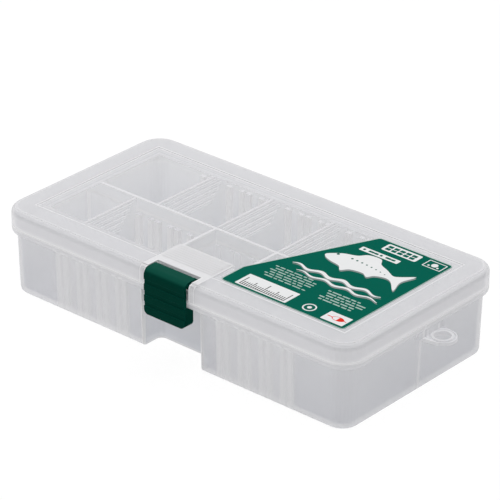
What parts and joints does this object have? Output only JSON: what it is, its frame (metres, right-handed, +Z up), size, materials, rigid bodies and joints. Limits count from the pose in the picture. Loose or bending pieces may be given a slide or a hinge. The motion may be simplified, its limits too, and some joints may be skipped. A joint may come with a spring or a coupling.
{
  "type": "fly box",
  "caption": "Rectangular clear moulded case with a hinged lid, a swinging front latch, open compartments with lift-out dividers, and a hang loop on its right end.",
  "frame": {"origin": "centre of the flat underside of the tray", "axes": "+X along the length to the hang loop, -Y to the latch, +Y to the hinge, +Z up"},
  "size_m": [0.2252, 0.1176, 0.0452],
  "materials": {
    "tray": "clear, slightly milky moulding",
    "lid": "clear panel with a milky border",
    "divider": "clear",
    "latch": "satin green",
    "label": "printed film"
  },
  "bodies": {
    "tray": {"tray": "tray", "divider_back_1": "divider", "divider_back_2": "divider", "divider_back_3": "divider", "divider_back_4": "divider", "divider_front_1": "divider", "divider_front_2": "divider"},
    "lid": {"lid": "lid", "label": "label"},
    "latch": {"latch": "latch"}
  },
  "joints": [
    {"name": "lid_hinge", "type": "hinge", "parent": "tray", "child": "lid", "pos_m": [0, 0.058, 0.0355], "axis": [-1, 0, 0], "range_deg": [0, 110]},
    {"name": "latch_pivot", "type": "hinge", "parent": "lid", "child": "latch", "pos_m": [0, -0.05, 0.0422], "axis": [-1, 0, 0], "range_deg": [0, 90]}
  ]
}
